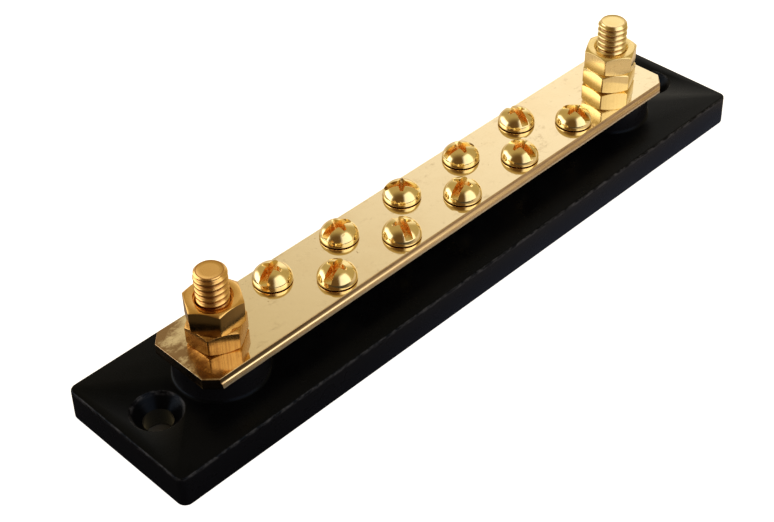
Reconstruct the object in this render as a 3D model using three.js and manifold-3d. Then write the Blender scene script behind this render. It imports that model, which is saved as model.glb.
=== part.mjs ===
// Power distribution bus bar: a gold-plated brass bar on a black moulded base,
// with a threaded stud and two hex nuts at each end and ten terminal screws in
// two staggered rows. Millimetres, +Z up, origin under the middle of the base.
// +X runs along the bar. Screws are numbered from the -X end.
import * as THREE from "three";
import { mergeVertices } from "three/addons/utils/BufferGeometryUtils.js";
import Module from "manifold-3d";

// Base
const BASE_LENGTH = 159.2;
const BASE_WIDTH = 32.9;
const BASE_HEIGHT = 6.8;
const BASE_CORNER_RADIUS = 1.8;
const BOSS_RADIUS = 9;
const BOSS_HEIGHT = 5.3; // lifts the bar clear of the base
const MOUNT_HOLE_X = 71.6;
const MOUNT_HOLE_RADIUS = 2.9;
const COUNTERSINK_RADIUS = 5.1;
const COUNTERSINK_DEPTH = 2.6;

// Cored-out cells under the base, which keep the moulding's walls even
const CELL_COLUMNS = 6;
const CELL_ROWS = 2;
const CELL_LENGTH = 12.4;
const CELL_WIDTH = 12.6;
const CELL_DEPTH = 4.3;
const CELL_RIB = 1.8;

// Bar
const BAR_LENGTH = 131.2;
const BAR_WIDTH = 18.4;
const BAR_THICKNESS = 2.56;
const BAR_CHAMFER = 2.6;

// Studs: hex-head bolts with 1/4 inch, 20 threads per inch
const STUD_X = 56.3;
const STUD_RADIUS = 3.17;
const STUD_END_CHAMFER = 0.45;
const THREAD_PITCH = 1.27;
const THREAD_DEPTH = 0.6;
const BOLT_HEAD_FLATS = 10.2;
const BOLT_HEAD_HEIGHT = 3.6;
const BOLT_HEAD_RECESS = 0.8; // head's face above the mounting surface
const SHANK_ROOT = 1.3; // where the shank starts, inside the head
const POCKET_CLEARANCE = 0.3;

// Nuts, two on each stud
const NUT_FLATS = 10.2;
const NUT_HEIGHT = 4.4;
const TALL_NUT_HEIGHT = 5.3;
const NUT_CHAMFER_ANGLE = 30; // degrees
const NUT_FACE_RADIUS = 4.95; // where the chamfer starts
const NUT_BORE_RADIUS = 3.26;
const NUT_BORE_FLARE = 0.45;

// Terminal screws: M4 by 6 round heads with a slot and a cross
const SCREW_SPACING = 8.7; // along the bar, from one screw to the next
const SCREW_ROW_Y = 4.26;
const SCREW_RADIUS = 2;
const SCREW_LENGTH = 6;
const SCREW_TIP_CHAMFER = 0.4;
const HEAD_RADIUS = 3.92;
const HEAD_SEAT_RADIUS = 3.7;
const HEAD_RIM_HEIGHT = 0.3; // where the head is widest and the dome starts
const HEAD_HEIGHT = 3.5;
const SLOT_WIDTH = 1.6;
const SLOT_DEPTH = 2;
const CROSS_WIDTH = 1.1;
const CROSS_LENGTH = 4.4;
const CROSS_DEPTH = 2.5;
// Where each slot happened to stop, in degrees from +X
const SLOT_TURNS = [18, 16, 174, 68, 134, 15, 160, 92, 72, 95];

// Fits
const SEAT_GAP = 0.02; // between faces that rest on each other
const HOLE_CLEARANCE = 0.12; // radial, around shanks in the bar

const BAR_BOTTOM = BASE_HEIGHT + BOSS_HEIGHT + SEAT_GAP;
const BAR_TOP = BAR_BOTTOM + BAR_THICKNESS;
const ROUND_SEGMENTS = 24;
const STUD_SEGMENTS = 20;
const SCREW_SEGMENTS = 16;
const CORNER_PER_FLAT = 1 / Math.cos(Math.PI / 6);

const wasm = await Module();
wasm.setup();

// --- solids -----------------------------------------------------------------

function toSolid(geometry) {
  const bare = geometry.clone();
  bare.deleteAttribute("normal");
  bare.deleteAttribute("uv");
  const merged = mergeVertices(bare, 1e-4);
  return new wasm.Manifold(
    new wasm.Mesh({
      numProp: 3,
      vertProperties: new Float32Array(merged.attributes.position.array),
      triVerts: new Uint32Array(merged.index.array),
    }),
  );
}

function toGeometry(solid) {
  const mesh = solid.getMesh();
  const geometry = new THREE.BufferGeometry();
  const positions = new THREE.BufferAttribute(mesh.vertProperties, 3);
  geometry.setAttribute("position", positions);
  geometry.setIndex(new THREE.BufferAttribute(mesh.triVerts, 1));
  geometry.computeVertexNormals();
  return geometry;
}

function joined(geometries) {
  const solids = geometries.map(toSolid);
  return solids.reduce((whole, next) => whole.add(next));
}

function cut(solid, geometries) {
  return geometries.map(toSolid).reduce((left, tool) => left.subtract(tool), solid);
}

// A solid of revolution about Z from [radius, z] points that start and end on the axis.
function turned(profile, segments = ROUND_SEGMENTS) {
  const points = profile.map(([radius, z]) => new THREE.Vector2(radius, z));
  return new THREE.LatheGeometry(points, segments).rotateX(Math.PI / 2);
}

function cylinder(radius, bottom, top, segments = ROUND_SEGMENTS) {
  const profile = [
    [0, bottom],
    [radius, bottom],
    [radius, top],
    [0, top],
  ];
  return turned(profile, segments);
}

function block(length, width, bottom, top) {
  const geometry = new THREE.BoxGeometry(length, width, top - bottom);
  return geometry.translate(0, 0, (bottom + top) / 2);
}

// A prism on an outline in X and Y.
function prism(shape, bottom, top, curveSegments = 4) {
  const options = { depth: top - bottom, bevelEnabled: false, curveSegments };
  return new THREE.ExtrudeGeometry(shape, options).translate(0, 0, bottom);
}

function hexagon(acrossFlats) {
  const shape = new THREE.Shape();
  const radius = (acrossFlats / 2) * CORNER_PER_FLAT;
  for (let corner = 0; corner < 6; corner += 1) {
    const angle = (corner * Math.PI) / 3;
    const x = radius * Math.cos(angle);
    const y = radius * Math.sin(angle);
    if (corner === 0) shape.moveTo(x, y);
    else shape.lineTo(x, y);
  }
  shape.closePath();
  return shape;
}

function roundedRectangle(length, width, radius) {
  const shape = new THREE.Shape();
  const x = length / 2 - radius;
  const y = width / 2 - radius;
  const corners = [
    [x, y],
    [-x, y],
    [-x, -y],
    [x, -y],
  ];
  corners.forEach(([cx, cy], quarter) => {
    const start = (quarter * Math.PI) / 2;
    shape.absarc(cx, cy, radius, start, start + Math.PI / 2, false);
  });
  shape.closePath();
  return shape;
}

function chamferedRectangle(length, width, chamfer) {
  const x = length / 2;
  const y = width / 2;
  const shape = new THREE.Shape();
  shape.moveTo(x, -y + chamfer);
  shape.lineTo(x, y - chamfer);
  shape.lineTo(x - chamfer, y);
  shape.lineTo(-x + chamfer, y);
  shape.lineTo(-x, y - chamfer);
  shape.lineTo(-x, -y + chamfer);
  shape.lineTo(-x + chamfer, -y);
  shape.lineTo(x - chamfer, -y);
  shape.closePath();
  return shape;
}

// --- materials --------------------------------------------------------------

function moulded() {
  return new THREE.MeshStandardMaterial({ color: "#141416", roughness: 0.55, metalness: 0 });
}

function goldPlate(color = "#dcbc74", roughness = 0.12) {
  return new THREE.MeshStandardMaterial({ color, roughness, metalness: 1 });
}

// --- parts ------------------------------------------------------------------

const busBar = new THREE.Group();

function place(name, solid, material, x = 0, y = 0, z = 0, turn = 0) {
  const mesh = new THREE.Mesh(toGeometry(solid), material);
  mesh.name = name;
  mesh.position.set(x, y, z);
  mesh.rotation.z = turn;
  busBar.add(mesh);
}

function screwPlace(index) {
  const x = (index - (SLOT_TURNS.length - 1) / 2) * SCREW_SPACING;
  const y = index % 2 === 0 ? SCREW_ROW_Y : -SCREW_ROW_Y;
  return { x, y };
}

// Each stud stands to its own height above the mounting surface. The nuts' turns are where
// they were tightened to, in degrees. The left stud has a taller upper nut.
const leftNuts = { lowerTurn: 35, upperTurn: 1, upperHeight: TALL_NUT_HEIGHT };
const rightNuts = { lowerTurn: 23, upperTurn: 27, upperHeight: NUT_HEIGHT };
const studPlaces = [
  { end: "left", x: -STUD_X, top: 30.5, ...leftNuts },
  { end: "right", x: STUD_X, top: 29.85, ...rightNuts },
];

function base() {
  const over = 1; // how far a cutting tool stands proud of the face it opens
  const outline = roundedRectangle(BASE_LENGTH, BASE_WIDTH, BASE_CORNER_RADIUS);
  const pieces = [prism(outline, 0, BASE_HEIGHT)];
  const tools = [];
  for (const { x } of studPlaces) {
    const bossTop = BASE_HEIGHT + BOSS_HEIGHT;
    const headTop = BOLT_HEAD_RECESS + BOLT_HEAD_HEIGHT + POCKET_CLEARANCE;
    const pocket = hexagon(BOLT_HEAD_FLATS + 2 * POCKET_CLEARANCE);
    pieces.push(cylinder(BOSS_RADIUS, BASE_HEIGHT - over, bossTop).translate(x, 0, 0));
    tools.push(prism(pocket, -over, headTop).translate(x, 0, 0));
    tools.push(cylinder(STUD_RADIUS + HOLE_CLEARANCE, 0, bossTop + over).translate(x, 0, 0));
  }
  for (const x of [-MOUNT_HOLE_X, MOUNT_HOLE_X]) {
    const seat = BASE_HEIGHT - COUNTERSINK_DEPTH;
    const profile = [
      [0, -over],
      [MOUNT_HOLE_RADIUS, -over],
      [MOUNT_HOLE_RADIUS, seat],
      [COUNTERSINK_RADIUS, BASE_HEIGHT],
      [COUNTERSINK_RADIUS, BASE_HEIGHT + over],
      [0, BASE_HEIGHT + over],
    ];
    tools.push(turned(profile).translate(x, 0, 0));
  }
  for (let column = 0; column < CELL_COLUMNS; column += 1) {
    for (let row = 0; row < CELL_ROWS; row += 1) {
      const x = (column - (CELL_COLUMNS - 1) / 2) * (CELL_LENGTH + CELL_RIB);
      const y = (row - (CELL_ROWS - 1) / 2) * (CELL_WIDTH + CELL_RIB);
      tools.push(block(CELL_LENGTH, CELL_WIDTH, -over, CELL_DEPTH).translate(x, y, 0));
    }
  }
  return cut(joined(pieces), tools);
}

function bar() {
  const outline = chamferedRectangle(BAR_LENGTH, BAR_WIDTH, BAR_CHAMFER);
  const holes = [];
  for (const { x } of studPlaces) {
    const radius = STUD_RADIUS + HOLE_CLEARANCE;
    holes.push(cylinder(radius, BAR_BOTTOM - 1, BAR_TOP + 1).translate(x, 0, 0));
  }
  SLOT_TURNS.forEach((_, index) => {
    const { x, y } = screwPlace(index);
    const radius = SCREW_RADIUS + HOLE_CLEARANCE;
    const tool = cylinder(radius, BAR_BOTTOM - 1, BAR_TOP + 1, SCREW_SEGMENTS);
    holes.push(tool.translate(x, y, 0));
  });
  return cut(toSolid(prism(outline, BAR_BOTTOM, BAR_TOP)), holes);
}

// A bolt that stands on its head: hex head, plain shank, then rings in place of the thread.
function stud(top) {
  const threadStart = BAR_TOP;
  const rings = Math.floor((top - STUD_END_CHAMFER - threadStart) / THREAD_PITCH);
  const root = STUD_RADIUS - THREAD_DEPTH;
  const profile = [
    [0, SHANK_ROOT],
    [STUD_RADIUS, SHANK_ROOT],
    [STUD_RADIUS, threadStart],
  ];
  for (let ring = 0; ring < rings; ring += 1) {
    const z = threadStart + ring * THREAD_PITCH;
    profile.push([root, z + THREAD_PITCH / 2]);
    profile.push([STUD_RADIUS, z + THREAD_PITCH]);
  }
  profile.push([STUD_RADIUS, top - STUD_END_CHAMFER]);
  profile.push([STUD_RADIUS - STUD_END_CHAMFER, top]);
  profile.push([0, top]);
  const headTop = BOLT_HEAD_RECESS + BOLT_HEAD_HEIGHT;
  const head = prism(hexagon(BOLT_HEAD_FLATS), BOLT_HEAD_RECESS, headTop);
  return joined([turned(profile, STUD_SEGMENTS), head]);
}

// A nut that sits on z = 0, chamfered at both ends, with a flared bore.
function nut(height = NUT_HEIGHT) {
  const over = 1;
  const rimRadius = (NUT_FLATS / 2) * CORNER_PER_FLAT + over;
  const slope = Math.tan(THREE.MathUtils.degToRad(NUT_CHAMFER_ANGLE));
  const chamfer = (rimRadius - NUT_FACE_RADIUS) * slope;
  const envelope = [
    [0, 0],
    [NUT_FACE_RADIUS, 0],
    [rimRadius, chamfer],
    [rimRadius, height - chamfer],
    [NUT_FACE_RADIUS, height],
    [0, height],
  ];
  const mouthRadius = NUT_BORE_RADIUS + NUT_BORE_FLARE + over;
  const bore = [
    [0, -over],
    [mouthRadius, -over],
    [NUT_BORE_RADIUS, NUT_BORE_FLARE],
    [NUT_BORE_RADIUS, height - NUT_BORE_FLARE],
    [mouthRadius, height + over],
    [0, height + over],
  ];
  const body = toSolid(prism(hexagon(NUT_FLATS), 0, height));
  const chamfered = body.intersect(toSolid(turned(envelope)));
  return cut(chamfered, [turned(bore, STUD_SEGMENTS)]);
}

// A round-head screw whose head sits on z = 0.
function screw() {
  const domeSteps = 5;
  const profile = [
    [0, -SCREW_LENGTH],
    [SCREW_RADIUS - SCREW_TIP_CHAMFER, -SCREW_LENGTH],
    [SCREW_RADIUS, SCREW_TIP_CHAMFER - SCREW_LENGTH],
    [SCREW_RADIUS, 0],
    [HEAD_SEAT_RADIUS, 0],
    [HEAD_RADIUS, HEAD_RIM_HEIGHT],
  ];
  for (let step = 1; step <= domeSteps; step += 1) {
    const angle = ((step / domeSteps) * Math.PI) / 2;
    const rise = (HEAD_HEIGHT - HEAD_RIM_HEIGHT) * Math.sin(angle);
    const radius = step === domeSteps ? 0 : HEAD_RADIUS * Math.cos(angle);
    profile.push([radius, HEAD_RIM_HEIGHT + rise]);
  }
  const above = HEAD_HEIGHT + 1;
  return cut(toSolid(turned(profile, SCREW_SEGMENTS)), [
    block(2 * HEAD_RADIUS + 1, SLOT_WIDTH, HEAD_HEIGHT - SLOT_DEPTH, above),
    block(CROSS_WIDTH, CROSS_LENGTH, HEAD_HEIGHT - CROSS_DEPTH, above),
    block(CROSS_LENGTH, CROSS_WIDTH, HEAD_HEIGHT - CROSS_DEPTH, above),
  ]);
}

place("base", base(), moulded());
place("bus_bar", bar(), goldPlate("#dcc590", 0.06));

for (const { end, x, top, lowerTurn, upperTurn, upperHeight } of studPlaces) {
  const lowerSeat = BAR_TOP + SEAT_GAP;
  const upperSeat = lowerSeat + NUT_HEIGHT + SEAT_GAP;
  const lowerAngle = THREE.MathUtils.degToRad(lowerTurn);
  const upperAngle = THREE.MathUtils.degToRad(upperTurn);
  place(`stud_${end}`, stud(top), goldPlate("#c8984a", 0.2), x);
  place(`lower_nut_${end}`, nut(), goldPlate("#cf9f4c"), x, 0, lowerSeat, lowerAngle);
  place(`upper_nut_${end}`, nut(upperHeight), goldPlate("#cf9f4c"), x, 0, upperSeat, upperAngle);
}

SLOT_TURNS.forEach((turn, index) => {
  const { x, y } = screwPlace(index);
  const angle = THREE.MathUtils.degToRad(turn);
  place(`terminal_screw_${index + 1}`, screw(), goldPlate(), x, y, BAR_TOP + SEAT_GAP, angle);
});

export default busBar;
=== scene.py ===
"""A gold-plated power distribution bus bar on a black moulded base, in a plain white studio."""

import math

import bpy
from mathutils import Matrix, Vector


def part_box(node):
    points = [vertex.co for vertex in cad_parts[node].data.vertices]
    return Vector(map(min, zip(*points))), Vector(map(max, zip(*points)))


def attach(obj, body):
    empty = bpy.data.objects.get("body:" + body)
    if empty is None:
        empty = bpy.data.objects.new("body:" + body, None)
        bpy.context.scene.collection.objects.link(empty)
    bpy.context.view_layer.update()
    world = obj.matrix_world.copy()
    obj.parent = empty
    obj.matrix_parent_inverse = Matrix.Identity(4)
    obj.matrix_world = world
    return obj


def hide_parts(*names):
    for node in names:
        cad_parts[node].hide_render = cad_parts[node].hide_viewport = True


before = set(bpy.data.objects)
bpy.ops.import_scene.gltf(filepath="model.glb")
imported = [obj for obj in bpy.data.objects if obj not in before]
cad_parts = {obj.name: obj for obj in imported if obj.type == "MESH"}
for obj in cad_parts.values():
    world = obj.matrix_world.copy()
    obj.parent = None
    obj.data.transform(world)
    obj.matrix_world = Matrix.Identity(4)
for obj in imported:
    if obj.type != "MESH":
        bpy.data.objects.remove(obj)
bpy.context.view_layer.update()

MM = 0.001

# ---------------------------------------------------------------- sizes, in millimetres

ENDS = ("left", "right")
SCREWS = [f"terminal_screw_{number}" for number in range(1, 11)]


def box_mm(node):
    """Lowest and highest corner of a CAD node, in millimetres."""
    low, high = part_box(node)
    return Vector(low) / MM, Vector(high) / MM


BASE_LOW, BASE_HIGH = box_mm("base")
BAR_LOW, BAR_HIGH = box_mm("bus_bar")
BASE_LENGTH = BASE_HIGH.x - BASE_LOW.x
BASE_WIDTH = BASE_HIGH.y - BASE_LOW.y
BOSS_TOP = BASE_HIGH.z
SLAB_TOP = 6.8
BASE_CORNER = 1.8
BASE_DRAFT = 0.15
BASE_FILLET = 0.45
BOSS_RADIUS = 9.0
MOUNT_HOLE_X = 71.6
MOUNT_HOLE_RADIUS = 2.9
COUNTERSINK_RADIUS = 5.1
COUNTERSINK_DEPTH = 2.6

CELL_SIZE = (12.4, 12.6)
CELL_COUNT = (6, 2)
CELL_RIB = 1.8
CELL_DEPTH = 4.3
CELL_CORNER = 1.2
# Where the ejector pins touched the underside: the four places (+-x, +-y) for each pair.
EJECTOR_MARKS = ((64.8, 11.5), (47.0, 12.6))

BAR_TOP = BAR_HIGH.z
BAR_CHAMFER = 2.6
BAR_END_ROUND = 0.22
BAR_BOTTOM_ROUND = 0.3

STUD_RADIUS = 3.15
STUD_PITCH = 1.27
STUD_THREAD_DEPTH = 0.5
STUD_END_CHAMFER = 0.55
SHANK_CLEARANCE = 0.12
BOLT_HEAD_HEIGHT = 3.6
POCKET_CLEARANCE = 0.3
HEX_FLATS = 10.2
HEX_CHAMFER_SLOPE = math.tan(math.radians(30))
NUT_BORE_CREST = 3.2
NUT_THREAD_DEPTH = 0.4

SCREW_RADIUS = 2.0
SCREW_PITCH = 0.7
SCREW_THREAD_DEPTH = 0.4
SCREW_LENGTH = 6.0
HEAD_RADIUS = 3.92
HEAD_RIM = 0.5
HEAD_GAP = 0.27
HEAD_HEIGHT = 3.5
# The depth written on a screw's points in the gap under its head, where its material paints a dark red
# shadow.
GAP_DEPTH = 6.0
SLOT_WIDTH = 1.6
SLOT_FLOOR = 1.5
# How far each screw's slot and each nut's corners are turned, in degrees.
SLOT_TURNS = (18, 16, 174, 68, 134, 15, 160, 92, 72, 95)
NUT_TURNS = {
    "lower_nut_left": 35,
    "upper_nut_left": 1,
    "lower_nut_right": 23,
    "upper_nut_right": 27,
}


def centre_of(node):
    """The middle of a CAD node's box, in millimetres."""
    low, high = box_mm(node)
    return (low + high) / 2


# ---------------------------------------------------------------- mesh building

# Degrees from a hexagon's corner to the points along its two sides, closest together at the corner.
CORNER_OFFSETS = (-30, -22, -14, -8, -4, -2, -1, 0, 1, 2, 4, 8, 14, 22)
HEX_ANGLES = [math.radians(60 * side + off) for side in range(6) for off in CORNER_OFFSETS]


def even_angles(count):
    """Angles all the way round, in radians."""
    return [2 * math.pi * step / count for step in range(count)]


def ring(angles, radius, z):
    """One loop of points; radius and z are numbers or functions of the angle."""
    points = []
    for angle in angles:
        r = radius(angle) if callable(radius) else radius
        height = z(angle) if callable(z) else z
        points.append((r * math.cos(angle), r * math.sin(angle), height))
    return points


def skin(rings, capped=True):
    """Vertices and faces of the surface through a stack of equal loops, lowest first.

    A capped stack is closed by a face at each end. An open one joins its last loop to its first.
    """
    count = len(rings[0])
    verts = [point for loop in rings for point in loop]
    faces = []
    spans = len(rings) - 1 if capped else len(rings)
    for level in range(spans):
        low = level * count
        high = (level + 1) % len(rings) * count
        for i in range(count):
            j = (i + 1) % count
            faces.append((low + i, low + j, high + j, high + i))
    if capped:
        faces.append(tuple(reversed(range(count))))
        top = (len(rings) - 1) * count
        faces.append(tuple(range(top, top + count)))
    return verts, faces


def new_object(name, verts, faces, place=(0, 0, 0), turn=0.0):
    """A mesh object from points in millimetres, turned and moved. Its origin is the frame's."""
    mesh = bpy.data.meshes.new(name)
    mesh.from_pydata([tuple(v) for v in verts], [], faces)
    spin = Matrix.Rotation(math.radians(turn), 4, "Z")
    mesh.transform(Matrix.Scale(MM, 4) @ Matrix.Translation(Vector(place)) @ spin)
    obj = bpy.data.objects.new(name, mesh)
    bpy.context.scene.collection.objects.link(obj)
    return obj


def apply_modifiers(obj):
    """Makes the object's mesh what its modifiers show, and removes them."""
    graph = bpy.context.evaluated_depsgraph_get()
    mesh = bpy.data.meshes.new_from_object(obj.evaluated_get(graph))
    old = obj.data
    obj.modifiers.clear()
    obj.data = mesh
    bpy.data.meshes.remove(old)


def combine(obj, others, operation):
    """Joins the others to obj, or cuts them out of it, and deletes them."""
    for other in others:
        modifier = obj.modifiers.new("combine", "BOOLEAN")
        modifier.operation = operation
        modifier.solver = "EXACT"
        modifier.object = other
    apply_modifiers(obj)
    for other in others:
        mesh = other.data
        bpy.data.objects.remove(other)
        bpy.data.meshes.remove(mesh)


def soften(obj, width, angle=30, segments=2):
    """Rounds every edge sharper than angle, by width in millimetres."""
    modifier = obj.modifiers.new("soften", "BEVEL")
    modifier.width = width * MM
    modifier.segments = segments
    modifier.limit_method = "ANGLE"
    modifier.angle_limit = math.radians(angle)
    modifier.use_clamp_overlap = True
    apply_modifiers(obj)


def shade(obj, angle=32):
    """Smooth shading, with edges sharper than angle left crisp."""
    obj.data.polygons.foreach_set("use_smooth", [True] * len(obj.data.polygons))
    obj.data.set_sharp_from_angle(angle=math.radians(angle))


def mark_depths(obj, name, depth_at):
    """Gives each point of the mesh a number that the material reads."""
    depths = obj.data.attributes.new(name, "FLOAT", "POINT")
    for vertex, depth in zip(obj.data.vertices, depths.data):
        depth.value = depth_at(vertex.co / MM)


def finish_piece(obj, material, body, node):
    """The piece gets its material, moves with its body, and stands for its CAD node."""
    obj.data.materials.clear()
    obj.data.materials.append(material)
    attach(obj, body)
    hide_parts(node)


def arc(centre, radius, start, end, steps):
    """Points (r, z) on an arc, angles in degrees."""
    points = []
    for step in range(steps + 1):
        angle = math.radians(start + (end - start) * step / steps)
        points.append((centre[0] + radius * math.cos(angle), centre[1] + radius * math.sin(angle)))
    return points


def turned_rings(profile, count=96):
    """The loops of a turned shape, from its (r, z) profile."""
    angles = even_angles(count)
    return [ring(angles, r, z) for r, z in profile]


def outline_ring(length, width, corner, z, steps=6):
    """A rounded rectangle as one loop."""
    points = []
    for quarter, (sx, sy) in enumerate(((1, 1), (-1, 1), (-1, -1), (1, -1))):
        centre = (sx * (length / 2 - corner), sy * (width / 2 - corner))
        for x, y in arc(centre, corner, 90 * quarter, 90 * quarter + 90, steps):
            points.append((x, y, z))
    return points


def chamfered_ring(length, width, chamfer, end_inset, side_inset, z):
    """A rectangle with cut corners as one loop.

    Its ends and corners are drawn in by end_inset, and its long sides by side_inset.
    """
    x = length / 2 - end_inset
    y = width / 2 - side_inset
    diagonal = (length + width) / 2 - chamfer - end_inset * math.sqrt(2)
    corner = [(x, diagonal - x), (diagonal - y, y)]
    loop = [(px, py, z) for px, py in corner]
    loop += [(-px, py, z) for px, py in reversed(corner)]
    loop += [(-px, -py, z) for px, py in corner]
    loop += [(px, -py, z) for px, py in reversed(corner)]
    return loop


def hex_radius(angle, flats, rounding):
    """Distance from the axis to a hexagon with rounded corners at 0, 60, 120, ... degrees."""
    off = abs((angle + math.pi / 6) % (math.pi / 3) - math.pi / 6)
    corner = (flats / 2 - rounding) / math.cos(math.pi / 6)
    reach = corner + rounding * math.cos(math.pi / 6)
    if off < math.atan2(rounding / 2, reach):
        return corner * math.cos(off) + math.sqrt(rounding**2 - (corner * math.sin(off)) ** 2)
    return flats / 2 / math.cos(math.pi / 6 - off)


def groove(phase):
    """How deep a thread is at a place along its pitch: 0 at the crest, 1 at the root."""
    return (0.5 + 0.5 * math.cos(2 * math.pi * phase)) ** 1.2


def thread_rings(angles, crest, depth, pitch, bottom, top, chamfer_bottom=0.0, chamfer_top=0.0):
    """The loops of a right-hand thread. A negative depth makes the thread of a bore."""
    steps = max(2, round((top - bottom) / pitch * 14))
    side = 1 if depth > 0 else -1
    loops = []
    for step in range(steps + 1):
        z = bottom + (top - bottom) * step / steps
        ends = crest - side * max(chamfer_top - (top - z), chamfer_bottom - (z - bottom), 0)

        def radius(angle, z=z, ends=ends):
            thread = crest - depth * groove(z / pitch - angle / (2 * math.pi))
            return min(thread, ends) if side > 0 else max(thread, ends)

        loops.append(ring(angles, radius, z))
    return loops


# ---------------------------------------------------------------- materials


class Nodes:
    """A short way to write a material's node tree. Its methods add nodes and give back sockets."""

    def __init__(self, name):
        self.material = bpy.data.materials.new(name)
        self.material.use_nodes = True
        self.tree = self.material.node_tree
        self.shader = self.tree.nodes["Principled BSDF"]
        self.place = self.add("ShaderNodeTexCoord").outputs["Object"]

    def add(self, kind, **settings):
        node = self.tree.nodes.new(kind)
        for key, value in settings.items():
            setattr(node, key, value)
        return node

    def link(self, source, target):
        self.tree.links.new(source, target)

    def stretched(self, scale, turn=0.0):
        """Object coordinates in millimetres, scaled, turned about Z by degrees."""
        mapping = self.add("ShaderNodeMapping")
        mapping.inputs["Scale"].default_value = [value / MM for value in scale]
        mapping.inputs["Rotation"].default_value = (0, 0, math.radians(turn))
        self.link(self.place, mapping.inputs["Vector"])
        return mapping.outputs["Vector"]

    def along(self, axis, start, end, to_start=0.0, to_end=1.0):
        """Eases from to_start to to_end between two places on an axis, in millimetres."""
        return self.remap(self.part(self.place, axis), start * MM, end * MM, to_start, to_end)

    def noise(self, scale, detail=3.0, roughness=0.55, turn=0.0):
        """Noise with scale features per millimetre, a number or one for each axis."""
        scales = scale if isinstance(scale, tuple) else (scale, scale, scale)
        node = self.add("ShaderNodeTexNoise")
        node.inputs["Scale"].default_value = 1.0
        node.inputs["Detail"].default_value = detail
        node.inputs["Roughness"].default_value = roughness
        self.link(self.stretched(scales, turn), node.inputs["Vector"])
        return node.outputs["Fac"]

    def remap(self, value, low, high, to_low=0.0, to_high=1.0):
        """Eases from to_low to to_high as the value goes from low to high."""
        node = self.add("ShaderNodeMapRange", interpolation_type="SMOOTHSTEP")
        self.link(value, node.inputs["Value"])
        node.inputs["From Min"].default_value = low
        node.inputs["From Max"].default_value = high
        node.inputs["To Min"].default_value = to_low
        node.inputs["To Max"].default_value = to_high
        return node.outputs["Result"]

    def math(self, operation, first, second):
        node = self.add("ShaderNodeMath", operation=operation)
        for socket, value in zip(node.inputs, (first, second)):
            if isinstance(value, (int, float)):
                socket.default_value = value
            else:
                self.link(value, socket)
        return node.outputs["Value"]

    def times(self, first, second):
        return self.math("MULTIPLY", first, second)

    def plus(self, first, second):
        return self.math("ADD", first, second)

    def larger(self, first, second):
        return self.math("MAXIMUM", first, second)

    def absolute(self, value):
        return self.math("ABSOLUTE", value, 0.0)

    def mix(self, factor, first, second):
        """Two colours, each one a tuple or a socket, mixed by a factor socket."""
        node = self.add("ShaderNodeMix", data_type="RGBA")
        self.link(factor, node.inputs["Factor"])
        for socket, value in ((node.inputs[6], first), (node.inputs[7], second)):
            if isinstance(value, tuple):
                socket.default_value = (*value, 1)
            else:
                self.link(value, socket)
        return node.outputs[2]

    def blend(self, factor, first, second):
        """Two numbers, each one a float or a socket, mixed by a factor socket."""
        node = self.add("ShaderNodeMix", data_type="FLOAT")
        self.link(factor, node.inputs["Factor"])
        for socket, value in ((node.inputs[2], first), (node.inputs[3], second)):
            if isinstance(value, float):
                socket.default_value = value
            else:
                self.link(value, socket)
        return node.outputs[0]

    def part(self, vector, axis):
        """The x, y or z part of a vector socket."""
        node = self.add("ShaderNodeSeparateXYZ")
        self.link(vector, node.inputs["Vector"])
        return node.outputs[axis]

    def bump(self, layers):
        """Bump from (height socket, strength, depth in millimetres) layers."""
        normal = None
        for height, strength, depth in layers:
            node = self.add("ShaderNodeBump")
            node.inputs["Strength"].default_value = strength
            node.inputs["Distance"].default_value = depth * MM
            self.link(height, node.inputs["Height"])
            if normal is not None:
                self.link(normal, node.inputs["Normal"])
            normal = node.outputs["Normal"]
        self.link(normal, self.shader.inputs["Normal"])

    def set(self, **values):
        """Constants on the shader's own sockets, with _ for each space in a socket's name."""
        for key, value in values.items():
            self.shader.inputs[key.replace("_", " ")].default_value = value


# In the materials below, noise takes a scale, a detail and a roughness, and remap takes the range of
# the noise, or of a slope or a place, over which an effect fades in.
DARK_STAIN = (0.3, 0.16, 0.06)


def plated_metal(name, tint, tarnish, roughness, stains, scratches, piece_extras):
    """Gold plating: a bright tint, duller patches, small stains, handling marks and fine scratches.

    The piece_extras function adds what belongs to one kind of piece: its wear, and on some pieces
    painted shade and a painted reflection. It gets the nodes, the colour and the roughness, and returns
    a new colour, a new roughness and a list of bump layers.
    """
    nodes = Nodes(name)
    nodes.set(Metallic=1.0)
    patches = nodes.remap(nodes.noise(0.09, 4), 0.42, 0.72)
    specks = nodes.remap(nodes.noise(1.6, 2), 0.68, 0.78)
    cloud = nodes.remap(nodes.noise(0.16, 2), 0.5, 0.68)
    stain = nodes.times(nodes.times(specks, cloud), stains)
    worn = nodes.mix(nodes.times(patches, 0.35), tint, tarnish)
    colour = nodes.mix(stain, worn, DARK_STAIN)
    smudge = nodes.noise(0.35, 5, 0.65)
    haze = nodes.remap(smudge, 0.35, 0.75, roughness, roughness + 0.07)
    rough = nodes.plus(haze, nodes.times(stain, 0.3))
    fine = nodes.noise((0.05, 6.0, 1.0), 3, turn=12)
    cross = nodes.noise((5.0, 0.08, 1.0), 2, turn=-31)
    lines = nodes.plus(nodes.remap(fine, 0.66, 0.7), nodes.remap(cross, 0.7, 0.73))
    colour, rough, worn_layers = piece_extras(nodes, colour, rough)
    nodes.link(colour, nodes.shader.inputs["Base Color"])
    nodes.link(rough, nodes.shader.inputs["Roughness"])
    waviness = (nodes.noise(0.22, 2), 0.5, 0.02)
    nodes.bump([waviness, (lines, scratches, 0.004)] + worn_layers)
    return nodes.material


# The bar's colours: its sides' darker gold as painted shade, the painted reflection line low down on them,
# and the brown of its tarnish and of painted shade.
SHADED_SIDE_GOLD = (0.9, 0.72, 0.46)
PAINTED_REFLECTION_GOLD = (1.0, 0.92, 0.78)
BAR_BROWN = (0.3, 0.18, 0.09)


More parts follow.
